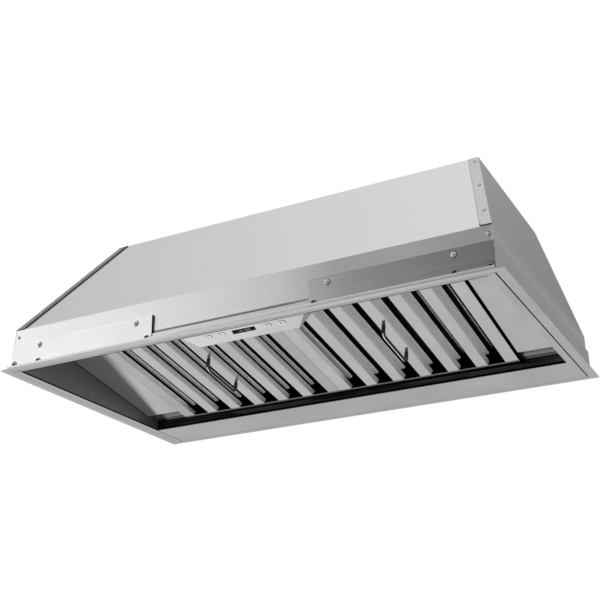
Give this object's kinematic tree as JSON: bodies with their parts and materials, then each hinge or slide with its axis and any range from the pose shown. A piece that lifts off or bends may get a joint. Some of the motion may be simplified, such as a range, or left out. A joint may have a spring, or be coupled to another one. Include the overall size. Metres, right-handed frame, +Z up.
{
  "type": "range hood insert",
  "caption": "Galvanised, sloping hood insert with a stainless trim flange, hinged baffle filters, a slanted control panel with buttons, lamps, an inner blower and a damper collar.",
  "frame": {"origin": "middle of the trim flange, on its underside", "axes": "+X to the right seen from the front, +Y to the rear, +Z up"},
  "size_m": [1.025, 0.61, 0.392],
  "materials": {
    "stainless": "brushed",
    "plate_steel": "satin",
    "galvanised": "spangled zinc",
    "skirt_zinc": "coarse spangled zinc",
    "zinc_screws": "bright zinc",
    "insert_steel": "dark zinc",
    "rail_black": "satin black",
    "bezel_chrome": "polished",
    "lamp_glass": "frosted",
    "lamp_aluminium": "satin",
    "control_steel": "fine brushed",
    "board_green": "matte",
    "display_black": "gloss",
    "button_steel": "satin",
    "motor_paint": "satin",
    "wheel_steel": "spangled zinc",
    "bushing_plastic": "matte",
    "filter_steel": "bright brushed",
    "handle_steel": "polished"
  },
  "bodies": {
    "casing": {"trim_flange": "stainless", "left_channel": "stainless", "right_channel": "stainless", "front_channel": "stainless", "rear_shelf": "stainless", "left_bracket_plate": "plate_steel", "right_bracket_plate": "plate_steel", "bracket_screws": "zinc_screws", "mounting_inserts": "insert_steel", "front_panel": "galvanised", "front_skirt": "skirt_zinc", "left_side_panel": "galvanised", "right_side_panel": "galvanised", "rear_panel": "galvanised", "top_panel": "galvanised", "seam_screws": "zinc_screws", "filter_rail": "rail_black", "left_filler_panel": "stainless", "right_filler_panel": "stainless", "light_panel": "stainless", "lamp_bezels": "bezel_chrome", "lamp_lenses": "lamp_glass", "lamp_bodies": "lamp_aluminium", "control_box": "control_steel", "control_board": "board_green", "display_window": "display_black", "blower_wrap": "galvanised", "left_blower_cheek": "galvanised", "right_blower_cheek": "galvanised", "blower_hangers": "galvanised", "motor": "motor_paint", "motor_bracket": "zinc_screws", "duct_collar": "galvanised", "damper_rod": "zinc_screws", "junction_box": "galvanised", "junction_cover": "galvanised", "conduit_bushing": "bushing_plastic", "motor_capacitor": "lamp_aluminium"},
    "left_filter": {"left_filter_frame": "filter_steel", "left_lower_baffles": "filter_steel", "left_upper_baffles": "filter_steel", "left_filter_handle": "handle_steel"},
    "right_filter": {"right_filter_frame": "filter_steel", "right_lower_baffles": "filter_steel", "right_upper_baffles": "filter_steel", "right_filter_handle": "handle_steel"},
    "blower_wheel": {"blower_wheel": "wheel_steel"},
    "front_damper": {"front_damper_flap": "galvanised"},
    "rear_damper": {"rear_damper_flap": "galvanised"},
    "light_button": {"light_button": "button_steel"},
    "speed_down_button": {"speed_down_button": "button_steel"},
    "speed_up_button": {"speed_up_button": "button_steel"},
    "power_button": {"power_button": "button_steel"}
  },
  "joints": [
    {"name": "left_filter_hinge", "type": "hinge", "parent": "casing", "child": "left_filter", "pos_m": [0, 0.181, 0.0139], "axis": [1, 0, 0], "range_deg": [0, 70]},
    {"name": "right_filter_hinge", "type": "hinge", "parent": "casing", "child": "right_filter", "pos_m": [0, 0.181, 0.0139], "axis": [1, 0, 0], "range_deg": [0, 70]},
    {"name": "light_button_press", "type": "slide", "parent": "casing", "child": "light_button", "axis": [0, 0.4449, 0.8956], "range_m": [0, 0.0015], "stiffness_N_per_m": 300, "springref_m": -0.001},
    {"name": "speed_down_button_press", "type": "slide", "parent": "casing", "child": "speed_down_button", "axis": [0, 0.4449, 0.8956], "range_m": [0, 0.0015], "stiffness_N_per_m": 300, "springref_m": -0.001},
    {"name": "speed_up_button_press", "type": "slide", "parent": "casing", "child": "speed_up_button", "axis": [0, 0.4449, 0.8956], "range_m": [0, 0.0015], "stiffness_N_per_m": 300, "springref_m": -0.001},
    {"name": "power_button_press", "type": "slide", "parent": "casing", "child": "power_button", "axis": [0, 0.4449, 0.8956], "range_m": [0, 0.0015], "stiffness_N_per_m": 300, "springref_m": -0.001},
    {"name": "blower_wheel_spin", "type": "hinge", "parent": "casing", "child": "blower_wheel", "pos_m": [0, 0.0835, 0.2048], "axis": [1, 0, 0], "continuous": true},
    {"name": "rear_damper_hinge", "type": "hinge", "parent": "casing", "child": "rear_damper", "pos_m": [0, 0.146, 0.371], "axis": [1, 0, 0], "range_deg": [0, 80]},
    {"name": "front_damper_hinge", "type": "hinge", "parent": "casing", "child": "front_damper", "pos_m": [0, 0.146, 0.371], "axis": [-1, 0, 0], "range_deg": [0, 80]}
  ]
}
